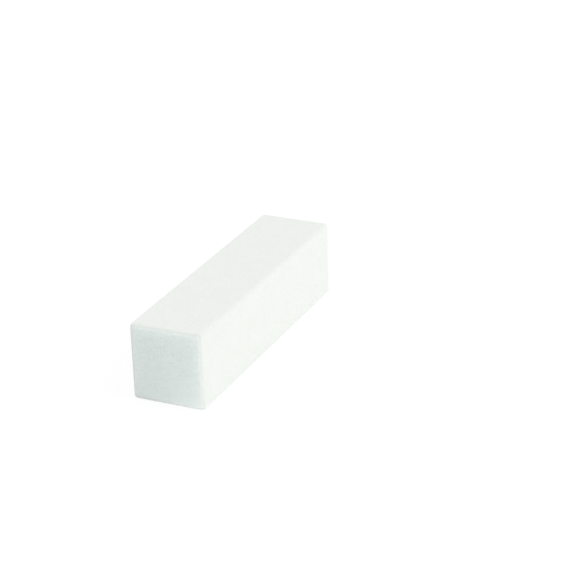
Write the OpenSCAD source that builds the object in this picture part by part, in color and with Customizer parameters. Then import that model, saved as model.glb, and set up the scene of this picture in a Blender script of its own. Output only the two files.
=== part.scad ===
// Nail buffer block: a nearly square bar of white foam in one sheet of abrasive paper.
// The paper is folded round the four long sides and its two edges meet in a
// butt seam low on the back. Both ends are bare, where the bar was cut to length.
// +X runs along the block, -Y is the front face and +Z is up. The origin is the
// middle of the face that it lies on.

/* [Block] */
// Length of the block, from end to end
block_length = 95; // [60:1:150]
// Width over the grit, from the front face to the back face
block_width = 24.5; // [18:0.5:40]
// Height over the grit, from the bottom face to the top face
block_height = 25.5; // [18:0.5:40]
// Radius of the four long edges, over the grit
edge_radius = 1.2; // [1:0.1:4]

/* [Abrasive sheet] */
// Thickness of the adhesive film between the foam and the paper
adhesive_thickness = 0.1; // [0.05:0.01:0.2]
// Thickness of the backing paper
paper_thickness = 0.25; // [0.15:0.01:0.35]
// Thickness of the resin coat that the grains are set in
resin_thickness = 0.06; // [0.04:0.01:0.1]
// Thickness of the layer of grains over the resin
grit_thickness = 0.19; // [0.1:0.01:0.3]

/* [Seam] */
// Gap left between the two edges of the sheet
seam_gap = 0.4; // [0.2:0.05:0.8]
// Height of the middle of the seam, up the back face
seam_height = 5; // [5:0.5:9]

/* [Hidden] */

// Depth of each layer's outer surface below the working surface
grit_depth = 0;
resin_depth = grit_depth + grit_thickness;
paper_depth = resin_depth + resin_thickness;
adhesive_depth = paper_depth + paper_thickness;
foam_depth = adhesive_depth + adhesive_thickness;

// Facets of a whole circle at the long edges
edge_facets = 96;
// How far a cutting shape runs past the surface that it cuts
cut_margin = 1;

// The block's cross-section, drawn in its own plane and shrunk by a depth on
// every side. The four edges keep their centres, so the layers stay even.
module section(depth) {
    w = block_width - 2 * depth;
    h = block_height - 2 * depth;
    r = edge_radius - depth;
    square([w - 2 * r, h], center = true);
    square([w, h - 2 * r], center = true);
    for (sx = [-1, 1], sy = [-1, 1])
        translate([sx * (w / 2 - r), sy * (h / 2 - r)])
            circle(r = r, $fn = edge_facets);
}

// Stands a cross-section up and runs it along the whole block.
module run_along_block() {
    translate([-block_length / 2, 0, block_height / 2])
        rotate([90, 0, 90])
            linear_extrude(height = block_length)
                children();
}

// One layer of the wrap: a ring from its outer depth to its inner depth, open
// at the seam.
module wrap_layer(outer_depth, inner_depth) {
    run_along_block()
        difference() {
            section(outer_depth);
            section(inner_depth);
            translate([block_width / 2, seam_height - block_height / 2])
                square([2 * cut_margin + 2 * inner_depth, seam_gap], center = true);
        }
}

module foam_core() {
    color("#f2f6f5")
        run_along_block()
            section(foam_depth);
}

module adhesive_film() {
    color("#e3e6da")
        wrap_layer(adhesive_depth, foam_depth);
}

module backing_paper() {
    color("#f4f3ec")
        wrap_layer(paper_depth, adhesive_depth);
}

module resin_coat() {
    color("#ebeee6")
        wrap_layer(resin_depth, paper_depth);
}

module abrasive_grit() {
    color("#f3f6f1")
        wrap_layer(grit_depth, resin_depth);
}

foam_core();
adhesive_film();
backing_paper();
resin_coat();
abrasive_grit();
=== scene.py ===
"""The looks of the nail buffer block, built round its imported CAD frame.

The block is a bar of white foam in one sheet of abrasive paper. The sheet is
four thin layers: adhesive film, backing paper, resin coat and grains. Each
layer is a closed shell that follows the same path round the bar, from one edge
of the seam to the other, and is cut off square at both ends of the bar.
Lengths here are millimetres, and the meshes are made in metres.
"""

import math

import bmesh
import bpy
import numpy as np
from mathutils import Matrix, Vector


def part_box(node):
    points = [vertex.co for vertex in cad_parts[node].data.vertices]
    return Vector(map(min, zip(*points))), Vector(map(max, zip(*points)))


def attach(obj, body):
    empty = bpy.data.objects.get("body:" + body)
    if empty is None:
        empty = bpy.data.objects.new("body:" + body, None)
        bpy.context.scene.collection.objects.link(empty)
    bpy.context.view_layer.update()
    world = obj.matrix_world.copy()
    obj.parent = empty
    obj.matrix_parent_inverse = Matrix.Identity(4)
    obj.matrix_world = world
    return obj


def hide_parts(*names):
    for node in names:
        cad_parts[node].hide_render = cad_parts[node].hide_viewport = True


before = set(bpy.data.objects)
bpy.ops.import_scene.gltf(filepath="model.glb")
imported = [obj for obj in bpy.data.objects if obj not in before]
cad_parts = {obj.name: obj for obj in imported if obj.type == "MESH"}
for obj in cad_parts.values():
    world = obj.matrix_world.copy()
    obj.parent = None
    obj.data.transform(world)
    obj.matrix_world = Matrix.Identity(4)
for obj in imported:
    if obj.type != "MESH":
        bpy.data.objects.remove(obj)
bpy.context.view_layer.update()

MM = 0.001

# ---------------------------------------------------------------- the frame

LOW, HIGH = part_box("abrasive_grit")
LENGTH = (HIGH.x - LOW.x) / MM
WIDTH = (HIGH.y - LOW.y) / MM
HEIGHT = (HIGH.z - LOW.z) / MM


def depth_of(node):
    """How far a CAD layer's outer surface lies below the working surface."""
    return (HIGH.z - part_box(node)[1].z) / MM


RESIN_DEPTH = depth_of("resin_coat")
PAPER_DEPTH = depth_of("backing_paper")
FILM_DEPTH = depth_of("adhesive_film")
FOAM_DEPTH = depth_of("foam_core")

# These three are the CAD source's, and the frame's boxes don't show them.
EDGE_RADIUS = 1.2
SEAM_HEIGHT = 5.0
SEAM_GAP = 0.4

# ------------------------------------------------------------ sizes of detail

# Edges that turn by more degrees than this are shaded sharp.
SHARP_ANGLE = 50
# Where the random numbers of each piece start
GRIT_SEED = 11
FOAM_SEED = 5
FILM_SEED = 21
PAPER_SEED = 22
RESIN_SEED = 23
# Steps round each long edge of the sheet
ARC_STEPS = 8

# The grains: how far apart they stand, how far they move about their places as
# a share of that, and the two powers that shape the spread of their depths
GRAIN_SPACING = 0.325
GRAIN_JITTER = 0.33
GRAIN_RELIEF = 0.085
GRAIN_DEPTHS = (1.6, 1.8)
# How much deeper the grains lie at the long edges and in the sheet's slow waves,
# how long those waves are, and how deep the sheet's cut rims are chipped
EDGE_RELIEF = 0.03
WAVE_RELIEF = 0.03
WAVE_LENGTH = 14.0
RIM_CHIP = 0.10

# The layers under the grains
LAYER_SPACING = 0.6
LAYER_RELIEF = 0.012

# The seam's wander along the block, and how far round the wrap it reaches
SEAM_WANDER = 0.12
SEAM_WAVE = 18.0
SEAM_REACH = 3.0

# The cut cells of the foam: a cell's middle lies out beyond the cut by CELL_RISE
# times its radius, and the cells fade out over EDGE_FADE next to the long sides.
# Their grid runs past the end by CELL_MARGIN cells or more on every side.
FOAM_SPACING = 0.13
CELL_SPACING = 0.42
CELL_MARGIN = 2
CELL_RADIUS = (0.12, 0.24)
CELL_RISE = (-0.05, 0.8)
EDGE_FADE = 0.25

# The bar's back, which shows only in the seam gap, is painted darker: painted shade
# standing in for the shadow in the gap, since the sheet casts none. The painted shade
# begins and is full at these shares of the way from the bar's middle to its back.
SEAM_SHADE_TINT = (0.50, 0.52, 0.48)
SEAM_SHADE_START = 0.9875
SEAM_SHADE_FULL = 0.99

# The blade that cut the bar to length left both ends slightly crowned, their
# rims worn round, and drew the sheet's cut edges in towards the foam.
CROWN = 0.25
CROWN_REACH = 2.2
WORN = 0.42
WORN_REACH = 1.75
CURL = 0.15
CURL_REACH = 1.6
# Where the foam's long sides bend next to an end, as multiples of CURL_REACH
CURL_STEPS = (0.25, 0.6, 1.0, 2.0)

# ---------------------------------------------------------------- small tools


def smooth_noise(rng, along, across, wave):
    """Soft random hills of about the given wavelength, from -1 to 1, at each
    pair of positions in two equally shaped arrays."""
    cells_a = int(np.ptp(along) / wave) + 3
    cells_b = int(np.ptp(across) / wave) + 3
    heights = rng.uniform(-1, 1, (cells_a + 1, cells_b + 1))
    a = (along - along.min()) / wave
    b = (across - across.min()) / wave
    ia, ib = a.astype(int), b.astype(int)
    fa, fb = a - ia, b - ib
    fa, fb = fa * fa * (3 - 2 * fa), fb * fb * (3 - 2 * fb)
    low = heights[ia, ib] * (1 - fb) + heights[ia, ib + 1] * fb
    high = heights[ia + 1, ib] * (1 - fb) + heights[ia + 1, ib + 1] * fb
    return low * (1 - fa) + high * fa


def grid_faces(rows, columns, first=0):
    """Quads of a grid of vertices that is numbered row by row from first."""
    corner = np.arange(rows - 1)[:, None] * columns + np.arange(columns - 1)
    corner = corner.ravel() + first
    quads = np.stack([corner, corner + 1, corner + columns + 1, corner + columns], 1)
    return quads.tolist()


def zipped(one, other):
    """Triangles between two rows of vertices that run the same way but may
    hold different numbers of them."""
    faces = []
    i = j = 0
    while i < len(one) - 1 or j < len(other) - 1:
        next_i = (i + 1) / (len(one) - 1)
        next_j = (j + 1) / (len(other) - 1)
        if j == len(other) - 1 or (i < len(one) - 1 and next_i <= next_j):
            faces.append([one[i], one[i + 1], other[j]])
            i += 1
        else:
            faces.append([one[i], other[j + 1], other[j]])
            j += 1
    return faces


def mesh_object(name, points, faces):
    """A new object from points in millimetres, its faces all turned outwards
    and its cut edges left sharp."""
    mesh = bpy.data.meshes.new(name)
    mesh.from_pydata((np.asarray(points) * MM).tolist(), [], faces)
    turned = bmesh.new()
    turned.from_mesh(mesh)
    bmesh.ops.recalc_face_normals(turned, faces=turned.faces)
    turned.to_mesh(mesh)
    turned.free()
    mesh.shade_smooth()
    mesh.set_sharp_from_angle(angle=math.radians(SHARP_ANGLE))
    piece = bpy.data.objects.new(name, mesh)
    bpy.context.scene.collection.objects.link(piece)
    return piece


# ------------------------------------------------------- the sheet's four layers


def straight(start, end, normal, spacing):
    """Points along a flat face of the section, each with the face's normal."""
    start, end = np.array(start, float), np.array(end, float)
    steps = max(1, round(np.linalg.norm(end - start) / spacing))
    share = np.arange(steps)[:, None] / steps
    return [(start + (end - start) * f, np.array(normal, float)) for f in share]


def corner(centre, start_angle):
    """Points round one long edge, each with its normal."""
    found = []
    for step in range(ARC_STEPS):
        angle = math.radians(start_angle + 90 * step / ARC_STEPS)
        normal = np.array([math.cos(angle), math.sin(angle)])
        found.append((np.array(centre) + EDGE_RADIUS * normal, normal))
    return found


def wrap_path(spacing):
    """The section's outline in Y and Z, from the seam's upper edge over the
    top, front and bottom to its lower edge: points, normals and distances."""
    y, z = WIDTH / 2, HEIGHT
    cy, low, high = y - EDGE_RADIUS, EDGE_RADIUS, HEIGHT - EDGE_RADIUS
    path = straight((y, SEAM_HEIGHT + SEAM_GAP / 2), (y, high), (1, 0), spacing)
    path += corner((cy, high), 0)
    path += straight((cy, z), (-cy, z), (0, 1), spacing)
    path += corner((-cy, high), 90)
    path += straight((-y, high), (-y, low), (-1, 0), spacing)
    path += corner((-cy, low), 180)
    path += straight((-cy, 0), (cy, 0), (0, -1), spacing)
    path += corner((cy, low), 270)
    path += straight((y, low), (y, SEAM_HEIGHT - SEAM_GAP / 2), (1, 0), spacing)
    path.append((np.array([y, SEAM_HEIGHT - SEAM_GAP / 2]), np.array([1.0, 0.0])))
    points = np.array([p for p, _ in path])
    normals = np.array([n for _, n in path])
    steps = np.linalg.norm(np.diff(points, axis=0), axis=1)
    return points, normals, np.concatenate([[0], np.cumsum(steps)])


def seam_shift(x):
    """How far the hand-laid seam wanders up or down at each place along it: a
    long wave and a shorter, weaker one."""
    return SEAM_WANDER * (
        0.6 * np.sin(2 * math.pi * x / SEAM_WAVE + 1.0)
        + 0.4 * np.sin(2 * math.pi * x / (0.37 * SEAM_WAVE) + 2.3)
    )


def crown(y, z):
    """How far an end is set back at places on the section."""
    from_side = WIDTH / 2 - np.abs(y)
    from_base = HEIGHT / 2 - np.abs(z - HEIGHT / 2)
    back = 0
    for most, reach in ((CROWN, CROWN_REACH), (WORN, WORN_REACH)):
        side = np.clip(1 - from_side / reach, 0, 1)
        base = np.clip(1 - from_base / reach, 0, 1)
        back = back + most * np.hypot(side**2, base**2)
    return back


def curl(x):
    """How far the sheet is drawn in at places along the block."""
    return CURL * np.clip(1 - (LENGTH / 2 - np.abs(x)) / CURL_REACH, 0, 1) ** 2


def set_back(x, y, z):
    """Places along the block, with those next to an end moved in by the crown."""
    near_end = np.clip(1 - (LENGTH / 2 - np.abs(x)) / CROWN_REACH, 0, 1)
    return x - np.sign(x) * near_end * crown(y, z)


def layer_grid(path, x, depth, slide, push):
    """Places of a grid on the wrap: below the path by depth, moved along the
    path by slide and along the block by push."""
    points, normals, _ = path
    depth = depth + curl(x)
    tangents = np.stack([-normals[:, 1], normals[:, 0]], 1)
    section = points[:, None] - normals[:, None] * depth[..., None]
    section = section + tangents[:, None] * slide[..., None]
    along = set_back(x + push, section[..., 0], section[..., 1])
    return np.concatenate([along[..., None], section], 2)


def seam_slide(path, x):
    """Moves both edges of the sheet by the seam's wander, fading out within
    SEAM_REACH of the seam."""
    distance = path[2]
    from_seam = np.minimum(distance, distance[-1] - distance)
    near = np.clip(1 - from_seam / SEAM_REACH, 0, 1)
    return near[:, None] * seam_shift(x)


def closed_shell(name, outer, inner):
    """A closed mesh between an outer and an inner grid of places."""
    rows, columns = outer.shape[:2]
    inner_rows, inner_columns = inner.shape[:2]
    first = rows * columns
    top = np.arange(first).reshape(rows, columns)
    under = first + np.arange(inner_rows * inner_columns)
    under = under.reshape(inner_rows, inner_columns)
    faces = grid_faces(rows, columns)
    faces += grid_faces(inner_rows, inner_columns, first)
    for one, other in (
        (top[0], under[0]),
        (top[-1], under[-1]),
        (top[:, 0], under[:, 0]),
        (top[:, -1], under[:, -1]),
    ):
        faces += zipped(one.tolist(), other.tolist())
    points = np.concatenate([outer.reshape(-1, 3), inner.reshape(-1, 3)])
    return mesh_object(name, points, faces)


def even_places(spacing):
    """Places along the block, from end to end."""
    return np.linspace(-LENGTH / 2, LENGTH / 2, round(LENGTH / spacing) + 1)


def inner_grid(depth, spacing):
    """The plain underside of a layer."""
    path = wrap_path(spacing)
    x = even_places(spacing)
    flat = np.full((len(path[0]), len(x)), float(depth))
    return layer_grid(path, x, flat, seam_slide(path, x), np.zeros(flat.shape))


def grit_layer():
    """The layer of grains: every vertex of a fine grid is a grain or a gap."""
    rng = np.random.default_rng(GRIT_SEED)
    path = wrap_path(GRAIN_SPACING)
    x = even_places(GRAIN_SPACING)
    shape = (len(path[0]), len(x))
    across, along = np.broadcast_arrays(path[2][:, None], x)
    bend = 1 - np.abs(path[1]).max(1)[:, None]
    bend = bend / bend.max()
    grains = rng.beta(*GRAIN_DEPTHS, shape)
    waves = 0.5 + 0.5 * smooth_noise(rng, across, along, WAVE_LENGTH)
    depth = GRAIN_RELIEF * grains + WAVE_RELIEF * waves
    depth = depth + EDGE_RELIEF * bend * rng.random(shape)
    slide = seam_slide(path, x)
    push = np.zeros(shape)
    jitter = GRAIN_JITTER * GRAIN_SPACING
    slide[1:-1] += rng.uniform(-jitter, jitter, (shape[0] - 2, shape[1]))
    push[:, 1:-1] = rng.uniform(-jitter, jitter, (shape[0], shape[1] - 2))
    chips = RIM_CHIP * rng.random((shape[0], 2)) ** 2
    push[:, 0] += chips[:, 0]
    push[:, -1] -= chips[:, 1]
    outer = layer_grid(path, x, depth, slide, push)
    return closed_shell("grit_layer", outer, inner_grid(RESIN_DEPTH, 4 * GRAIN_SPACING))


def under_layer(name, outer_depth, inner_depth, seed, recess):
    """A layer under the grains, seen only at its cut edges, which lie back from
    the cut by up to recess."""
    rng = np.random.default_rng(seed)
    path = wrap_path(LAYER_SPACING)
    x = even_places(LAYER_SPACING)
    shape = (len(path[0]), len(x))
    depth = outer_depth + LAYER_RELIEF * rng.random(shape)
    push = np.zeros(shape)
    push[:, 0] = recess * rng.random(shape[0])
    push[:, -1] = -recess * rng.random(shape[0])
    outer = layer_grid(path, x, depth, seam_slide(path, x), push)
    return closed_shell(name, outer, inner_grid(inner_depth, 2 * LAYER_SPACING))


# ---------------------------------------------------------------- the foam bar


def bubble_relief(rng, y, z):
    """Depth of the cut bubbles at places on an end face: each bubble is a
    sphere that the cut went through at a random height."""
    count = int(max(WIDTH, HEIGHT) / CELL_SPACING) + 2 * CELL_MARGIN + 2
    margin = CELL_MARGIN * CELL_SPACING
    centre_y = (np.arange(count)[:, None] + rng.random((count, count))) * CELL_SPACING
    centre_z = (np.arange(count)[None] + rng.random((count, count))) * CELL_SPACING
    radius = rng.uniform(*CELL_RADIUS, (count, count))
    height = rng.uniform(*CELL_RISE, (count, count)) * radius
    py, pz = y + WIDTH / 2 + margin, z + margin
    iy, iz = (py / CELL_SPACING).astype(int), (pz / CELL_SPACING).astype(int)
    depth = np.zeros(y.shape)
    for dy in (-1, 0, 1):
        for dz in (-1, 0, 1):
            j, k = np.clip(iy + dy, 0, count - 1), np.clip(iz + dz, 0, count - 1)
            off = (py - centre_y[j, k]) ** 2 + (pz - centre_z[j, k]) ** 2
            inside = radius[j, k] ** 2 - off
            bowl = np.sqrt(np.maximum(inside, 0)) - height[j, k]
            depth = np.maximum(depth, np.where(inside > 0, bowl, 0))
    return depth


def rounded_grid(steps, half_y, half_z, radius):
    """A grid of places on the bar's section, its four corners pulled in to arcs."""
    sides = np.linspace(-half_y, half_y, steps), np.linspace(-half_z, half_z, steps)
    y, z = np.meshgrid(*sides, indexing="ij")
    flat_y, flat_z = half_y - radius, half_z - radius
    p = np.clip((np.abs(y) - flat_y) / radius, 0, 1)
    q = np.clip((np.abs(z) - flat_z) / radius, 0, 1)
    round_p, round_q = p * np.sqrt(1 - q * q / 2), q * np.sqrt(1 - p * p / 2)
    y = np.where(p > 0, np.sign(y) * (flat_y + radius * round_p), y)
    z = np.where(q > 0, np.sign(z) * (flat_z + radius * round_q), z)
    return y, z


def foam_end(rng, side, steps, half_y, half_z, radius):
    """One cut end of the bar, as a grid of places."""
    y, z = rounded_grid(steps, half_y, half_z, radius)
    from_edge = np.minimum(half_y - np.abs(y), half_z - np.abs(z))
    rim = np.clip(from_edge / EDGE_FADE, 0, 1)
    z = z + HEIGHT / 2
    depth = rim * bubble_relief(rng, y, z)
    return np.stack([side * (LENGTH / 2 - depth - crown(y, z)), y, z], 2)


def foam_bar():
    """The foam bar: two cut ends full of open cells, and plain long sides."""
    rng = np.random.default_rng(FOAM_SEED)
    half_y, half_z = WIDTH / 2 - FOAM_DEPTH, HEIGHT / 2 - FOAM_DEPTH
    radius = EDGE_RADIUS - FOAM_DEPTH
    steps = round((half_y + half_z) / FOAM_SPACING) + 1
    index = np.arange(steps * steps).reshape(steps, steps)
    ring = np.concatenate([index[0], index[1:, -1], index[-1, -2::-1], index[-2:0:-1, 0]])
    end_y, end_z = half_y - curl(LENGTH / 2), half_z - curl(LENGTH / 2)
    left = foam_end(rng, -1, steps, end_y, end_z, radius)
    right = foam_end(rng, 1, steps, end_y, end_z, radius)
    points = [left.reshape(-1, 3), right.reshape(-1, 3)]
    faces = grid_faces(steps, steps) + grid_faces(steps, steps, steps * steps)
    loops = [ring]
    y, z = rounded_grid(steps, half_y, half_z, radius)
    outline = np.stack([y.ravel()[ring], z.ravel()[ring]], 1)
    near_end = LENGTH / 2 - CURL_REACH * np.array(CURL_STEPS)
    first = 2 * steps * steps
    for x in (*-near_end, *near_end[::-1]):
        shrink = 1 - curl(x) / np.array([half_y, half_z])
        section = outline * shrink + (0, HEIGHT / 2)
        along = set_back(np.full(len(ring), x), section[:, 0], section[:, 1])
        points.append(np.column_stack([along, section]))
        loops.append(first + np.arange(len(ring)))
        first += len(ring)
    loops.append(ring + steps * steps)
    for one, other in zip(loops, loops[1:]):
        quads = np.stack([one, np.roll(one, -1), np.roll(other, -1), other], 1)
        faces += quads.tolist()
    return mesh_object("foam_bar", np.concatenate(points), faces)


# ------------------------------------------------------------------- materials

# Octaves of finer noise laid over each soft noise
NOISE_DETAIL = 3.0
# Where a mottled colour leaves its low end and reaches its high end
MOTTLE_FROM = 0.3
MOTTLE_TO = 0.7
# How far across one grain is
GRAIN_SIZE = 0.15
# A Mix node's sockets for colours: the two that go in, and the one that comes out
MIX_ONE = 6
MIX_OTHER = 7
MIX_OUT = 2


class Finish:
    """A material and the few node links that its surface needs."""

    def __init__(self, name):
        self.material = bpy.data.materials.new(name)
        self.material.use_nodes = True
        self.nodes = self.material.node_tree.nodes
        self.links = self.material.node_tree.links
        self.shader = self.nodes["Principled BSDF"]
        self.place = self.nodes.new("ShaderNodeTexCoord").outputs["Object"]

    def set(self, **values):
        """Sets sockets of the shader that are the same all over."""
        for name, value in values.items():
            self.shader.inputs[name.replace("_", " ")].default_value = value

    def noise(self, size):
        """A soft noise whose features are about size millimetres across."""
        node = self.nodes.new("ShaderNodeTexNoise")
        node.inputs["Scale"].default_value = 1 / (size * MM)
        node.inputs["Detail"].default_value = NOISE_DETAIL
        self.links.new(self.place, node.inputs["Vector"])
        return node.outputs["Fac"]

    def towards_back(self, full):
        """How far a place lies from the middle of the block towards its back,
        as a share of full, in millimetres."""
        parts = self.nodes.new("ShaderNodeSeparateXYZ")
        share = self.nodes.new("ShaderNodeMath")
        share.operation = "DIVIDE"
        share.inputs[1].default_value = full * MM
        self.links.new(self.place, parts.inputs["Vector"])
        self.links.new(parts.outputs["Y"], share.inputs[0])
        return share.outputs["Value"]

    def cells(self, size, output="Distance"):
        """Voronoi cells about size millimetres across."""
        node = self.nodes.new("ShaderNodeTexVoronoi")
        node.inputs["Scale"].default_value = 1 / (size * MM)
        self.links.new(self.place, node.inputs["Vector"])
        return node.outputs[output]

    def ramp(self, value, low, high):
        """Turns a value into colours between a low and a high stop, each being
        a place and a colour."""
        node = self.nodes.new("ShaderNodeValToRGB")
        for element, (place, colour) in zip(node.color_ramp.elements, (low, high)):
            element.position = place
            element.color = (*colour, 1)
        self.links.new(value, node.inputs["Fac"])
        return node.outputs["Color"]

    def mottled(self, size, low, high):
        """Drifts between two colours in patches about size millimetres across."""
        return self.ramp(self.noise(size), (MOTTLE_FROM, low), (MOTTLE_TO, high))

    def spread(self, value, low, high):
        """Maps a value from 0 and 1 to low and high."""
        node = self.nodes.new("ShaderNodeMapRange")
        node.inputs["To Min"].default_value = low
        node.inputs["To Max"].default_value = high
        self.links.new(value, node.inputs["Value"])
        return node.outputs["Result"]

    def times(self, one, other):
        """Multiplies two colours."""
        node = self.nodes.new("ShaderNodeMix")
        node.data_type = "RGBA"
        node.blend_type = "MULTIPLY"
        node.inputs["Factor"].default_value = 1
        self.links.new(one, node.inputs[MIX_ONE])
        self.links.new(other, node.inputs[MIX_OTHER])
        return node.outputs[MIX_OUT]

    def bump(self, value, height, under=None):
        """A bump of the given height in millimetres, over an earlier one."""
        node = self.nodes.new("ShaderNodeBump")
        node.inputs["Distance"].default_value = height * MM
        self.links.new(value, node.inputs["Height"])
        if under is not None:
            self.links.new(under, node.inputs["Normal"])
        return node.outputs["Normal"]

    def join(self, value, name):
        """Links a value to a socket of the shader."""
        self.links.new(value, self.shader.inputs[name])


def grit_finish():
    """White mineral grains in a white resin: matte, with small glints."""
    finish = Finish("white_grit")
    finish.set(Specular_IOR_Level=0.4)
    grains = finish.ramp(
        finish.cells(GRAIN_SIZE, "Color"),
        (0.0, (0.868, 0.893, 0.858)),
        (1.0, (0.965, 0.987, 0.95)),
    )
    # Painted shade: the colour darkens at the cells' borders, in the gaps between grains
    grain_gap_shade = finish.ramp(
        finish.cells(GRAIN_SIZE), (0.25, (1, 1, 1)), (0.9, (0.9, 0.91, 0.89))
    )
    drift = finish.mottled(6.0, (0.985, 0.988, 0.985), (1.0, 1.0, 1.0))
    finish.join(finish.times(finish.times(grains, grain_gap_shade), drift), "Base Color")
    finish.join(finish.spread(finish.cells(GRAIN_SIZE, "Color"), 0.35, 0.85), "Roughness")
    bump = finish.bump(finish.noise(0.1), 0.03)
    domes = finish.spread(finish.cells(GRAIN_SIZE), 1, 0)
    finish.join(finish.bump(domes, 0.04, bump), "Normal")
    return finish.material


def foam_finish():
    """White closed-cell foam: light spreads a few millimetres inside it."""
    finish = Finish("white_foam")
    finish.set(Subsurface_Weight=0.75, Subsurface_Scale=0.003, Specular_IOR_Level=0.25)
    finish.set(Subsurface_Radius=(1.0, 1.0, 1.0), Roughness=0.7)
    colour = finish.mottled(0.8, (0.82, 0.88, 0.86), (0.86, 0.915, 0.90))
    back = finish.towards_back(WIDTH / 2 - FOAM_DEPTH)
    # Painted shade: the bar's back is darkened so that the seam gap looks shaded
    seam_shade = finish.ramp(back, (SEAM_SHADE_START, (1, 1, 1)), (SEAM_SHADE_FULL, SEAM_SHADE_TINT))
    finish.join(finish.times(colour, seam_shade), "Base Color")
    bump = finish.bump(finish.cells(0.22), 0.05)
    finish.join(finish.bump(finish.noise(0.12), 0.02, bump), "Normal")
    return finish.material


def paper_finish():
    """White latex-saturated paper, its fibres matted."""
    finish = Finish("backing_paper_white")
    finish.set(Roughness=0.85, Specular_IOR_Level=0.2)
    colour = finish.mottled(0.15, (0.85, 0.875, 0.85), (0.885, 0.905, 0.885))
    finish.join(colour, "Base Color")
    finish.join(finish.bump(finish.noise(0.08), 0.01), "Normal")
    return finish.material


def resin_finish():
    """Satin resin that the grains are set in."""
    finish = Finish("white_resin")
    finish.set(Roughness=0.45)
    colour = finish.mottled(0.3, (0.85, 0.885, 0.865), (0.885, 0.915, 0.90))
    finish.join(colour, "Base Color")
    finish.join(finish.bump(finish.noise(0.1), 0.01), "Normal")
    return finish.material


def film_finish():
    """Cloudy pressure-sensitive adhesive."""
    finish = Finish("cloudy_adhesive")
    finish.set(Roughness=0.35)
    colour = finish.mottled(0.5, (0.81, 0.85, 0.83), (0.86, 0.89, 0.875))
    finish.join(colour, "Base Color")
    finish.join(finish.bump(finish.noise(0.15), 0.01), "Normal")
    return finish.material


def place(piece, node, slot, material):
    """Puts a finished piece in the frame in the CAD node's stead. The sheet is
    so thin that light goes through it: only the foam casts shadows and bounces
    light."""
    piece.data.materials.append(material)
    is_foam = node == "foam_core"
    piece.visible_shadow = is_foam
    piece.visible_diffuse = is_foam
    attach(piece, "root")
    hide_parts(node)


def build_block():
    """All five pieces of the block."""
    foam = foam_bar()
    place(foam, "foam_core", "foam", foam_finish())
    film = under_layer("adhesive_layer", FILM_DEPTH, FOAM_DEPTH, FILM_SEED, recess=0.04)
    place(film, "adhesive_film", "adhesive", film_finish())
    paper = under_layer("paper_layer", PAPER_DEPTH, FILM_DEPTH, PAPER_SEED, recess=0.03)
    place(paper, "backing_paper", "paper", paper_finish())
    resin = under_layer("resin_layer", RESIN_DEPTH, PAPER_DEPTH, RESIN_SEED, recess=0.04)
    place(resin, "resin_coat", "resin", resin_finish())
    place(grit_layer(), "abrasive_grit", "grit", grit_finish())


# ------------------------------------------------------------ camera and studio

# Angles in degrees, the distance and the lens in millimetres
CAMERA_AZIMUTH = -64.52
CAMERA_ELEVATION = 24.03
CAMERA_ROLL = -1.82
CAMERA_DISTANCE = 645.8
CAMERA_LENS = 123.6
# The point at mid-height that the camera looks at, as shares of the block's
# length and width from its middle
AIM_SHARE = (0.2237, -0.3181)

# The room and its light, in metres, watts and linear colours. The table's glow
# turns from front to back over TABLE_TURN each side of the block's middle, and
# its top lies TABLE_DROP under the block.
ROOM_RADIUS = 4.5
TABLE_GREY = 0.42
TABLE_FRONT_GLOW = 0.652
TABLE_BACK_GLOW = 0.226
TABLE_TURN = 0.015
TABLE_DROP = 0.0002
FLOOR_GREY = 0.15
FLOOR_GLOW = 0.865
# The way to the bright side of the room, and how far round from it, as a
# cosine, the light stays full before it fades to the dim side
BRIGHT_SIDE = (0.47, -0.24, 0.85)
BRIGHT_REACH = 0.47
DIM_LIGHT = (0.32, 0.43, 0.34)
BRIGHT_LIGHT = (1.036, 1.03, 1.044)
SOFTBOX_PLACE = (0.2, -1.3, 0.45)
SOFTBOX_SIZE = 0.9
SOFTBOX_POWER = 1.0
SOFTBOX_COLOUR = (1.0, 0.995, 0.97)


def make_camera():
    """The camera, at the viewing angle of a block that lies on a table."""
    azimuth, elevation = math.radians(CAMERA_AZIMUTH), math.radians(CAMERA_ELEVATION)
    back = Vector((
        math.sin(azimuth) * math.cos(elevation),
        -math.cos(azimuth) * math.cos(elevation),
        math.sin(elevation),
    ))
    aim = Vector((AIM_SHARE[0] * LENGTH, AIM_SHARE[1] * WIDTH, HEIGHT / 2))
    data = bpy.data.cameras.new("camera")
    data.lens = CAMERA_LENS
    data.sensor_width = 36.0
    data.clip_start, data.clip_end = 0.01, 20.0
    camera = bpy.data.objects.new("camera", data)
    bpy.context.scene.collection.objects.link(camera)
    turn = (-back).to_track_quat("-Z", "Y")
    roll = Matrix.Rotation(math.radians(CAMERA_ROLL), 4, "Z")
    camera.matrix_world = (
        Matrix.Translation((aim + back * CAMERA_DISTANCE) * MM)
        @ turn.to_matrix().to_4x4()
        @ roll
    )
    bpy.context.scene.camera = camera


def staged(name, mesh, grey, glow):
    """An object of the studio, not of the block, in a matte grey that glows."""
    finish = Finish(name)
    finish.set(Base_Color=(grey, grey, grey, 1), Roughness=1.0, Specular_IOR_Level=0.0)
    finish.set(Emission_Color=(1, 1, 1, 1), Emission_Strength=glow)
    thing = bpy.data.objects.new(name, mesh)
    thing.data.materials.append(finish.material)
    bpy.context.scene.collection.objects.link(thing)
    return thing, finish


def disc(name):
    """A flat disc as wide as the room."""
    mesh = bpy.data.meshes.new(name)
    built = bmesh.new()
    bmesh.ops.create_circle(built, cap_ends=True, segments=96, radius=ROOM_RADIUS)
    built.to_mesh(mesh)
    built.free()
    return mesh


def only_seen(thing):
    """Hides a thing from all light, so that it is only a background."""
    thing.visible_diffuse = False
    thing.visible_glossy = False
    thing.visible_transmission = False
    thing.visible_shadow = False


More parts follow.
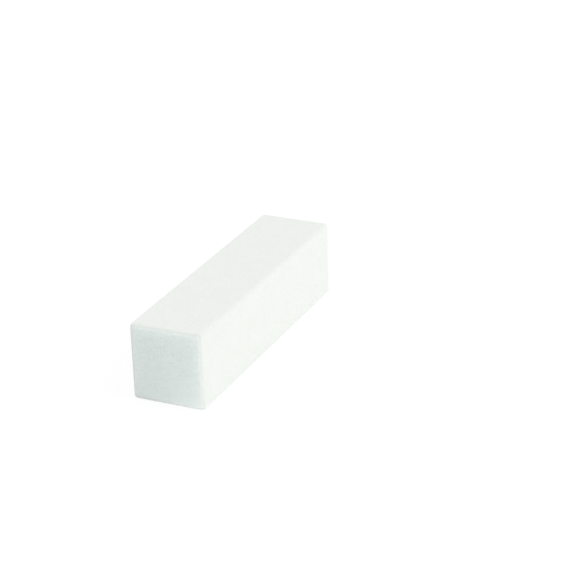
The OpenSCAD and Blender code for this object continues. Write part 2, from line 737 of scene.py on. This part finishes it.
def make_table():
    """A table that glows, more in front of the block than behind it. It lights
    the block but isn't seen itself."""
    table, finish = staged("light_table", disc("light_table"), TABLE_GREY, 0.0)
    table.location.z = -TABLE_DROP
    table.visible_camera = False
    parts = finish.nodes.new("ShaderNodeSeparateXYZ")
    finish.links.new(finish.place, parts.inputs["Vector"])
    glow = finish.nodes.new("ShaderNodeMapRange")
    glow.inputs["From Min"].default_value = -TABLE_TURN
    glow.inputs["From Max"].default_value = TABLE_TURN
    glow.inputs["To Min"].default_value = TABLE_FRONT_GLOW
    glow.inputs["To Max"].default_value = TABLE_BACK_GLOW
    finish.links.new(parts.outputs["Y"], glow.inputs["Value"])
    finish.join(glow.outputs["Result"], "Emission Strength")


def make_background():
    """The white floor, with only a faint shadow on it, and a white dome."""
    floor, _ = staged("floor", disc("floor"), FLOOR_GREY, FLOOR_GLOW)
    only_seen(floor)
    mesh = bpy.data.meshes.new("backdrop")
    built = bmesh.new()
    bmesh.ops.create_uvsphere(built, u_segments=64, v_segments=32, radius=ROOM_RADIUS)
    built.to_mesh(mesh)
    built.free()
    backdrop, _ = staged("backdrop", mesh, 0.0, 1.0)
    only_seen(backdrop)


def make_room():
    """Soft light from all round, brightest from one side of the room."""
    world = bpy.data.worlds.new("room")
    world.use_nodes = True
    nodes, links = world.node_tree.nodes, world.node_tree.links
    direction = nodes.new("ShaderNodeTexCoord").outputs["Generated"]
    facing = nodes.new("ShaderNodeVectorMath")
    facing.operation = "DOT_PRODUCT"
    facing.inputs[1].default_value = Vector(BRIGHT_SIDE).normalized()
    share = nodes.new("ShaderNodeMapRange")
    share.inputs["From Min"].default_value = -1
    share.inputs["From Max"].default_value = BRIGHT_REACH
    light = nodes.new("ShaderNodeMix")
    light.data_type = "RGBA"
    light.inputs[MIX_ONE].default_value = (*DIM_LIGHT, 1)
    light.inputs[MIX_OTHER].default_value = (*BRIGHT_LIGHT, 1)
    links.new(direction, facing.inputs[0])
    links.new(facing.outputs["Value"], share.inputs["Value"])
    links.new(share.outputs["Result"], light.inputs["Factor"])
    links.new(light.outputs[MIX_OUT], nodes["Background"].inputs["Color"])
    bpy.context.scene.world = world


def make_softbox():
    """A large square softbox that grazes the grains from the front."""
    data = bpy.data.lights.new("softbox", "AREA")
    data.shape = "SQUARE"
    data.size = SOFTBOX_SIZE
    data.energy = SOFTBOX_POWER
    data.color = SOFTBOX_COLOUR
    light = bpy.data.objects.new("softbox", data)
    bpy.context.scene.collection.objects.link(light)
    light.location = SOFTBOX_PLACE
    light.rotation_euler = (-Vector(SOFTBOX_PLACE)).to_track_quat("-Z", "Y").to_euler()


bpy.context.scene.view_settings.view_transform = "Standard"
make_camera()
make_table()
make_background()
make_room()
make_softbox()
build_block()
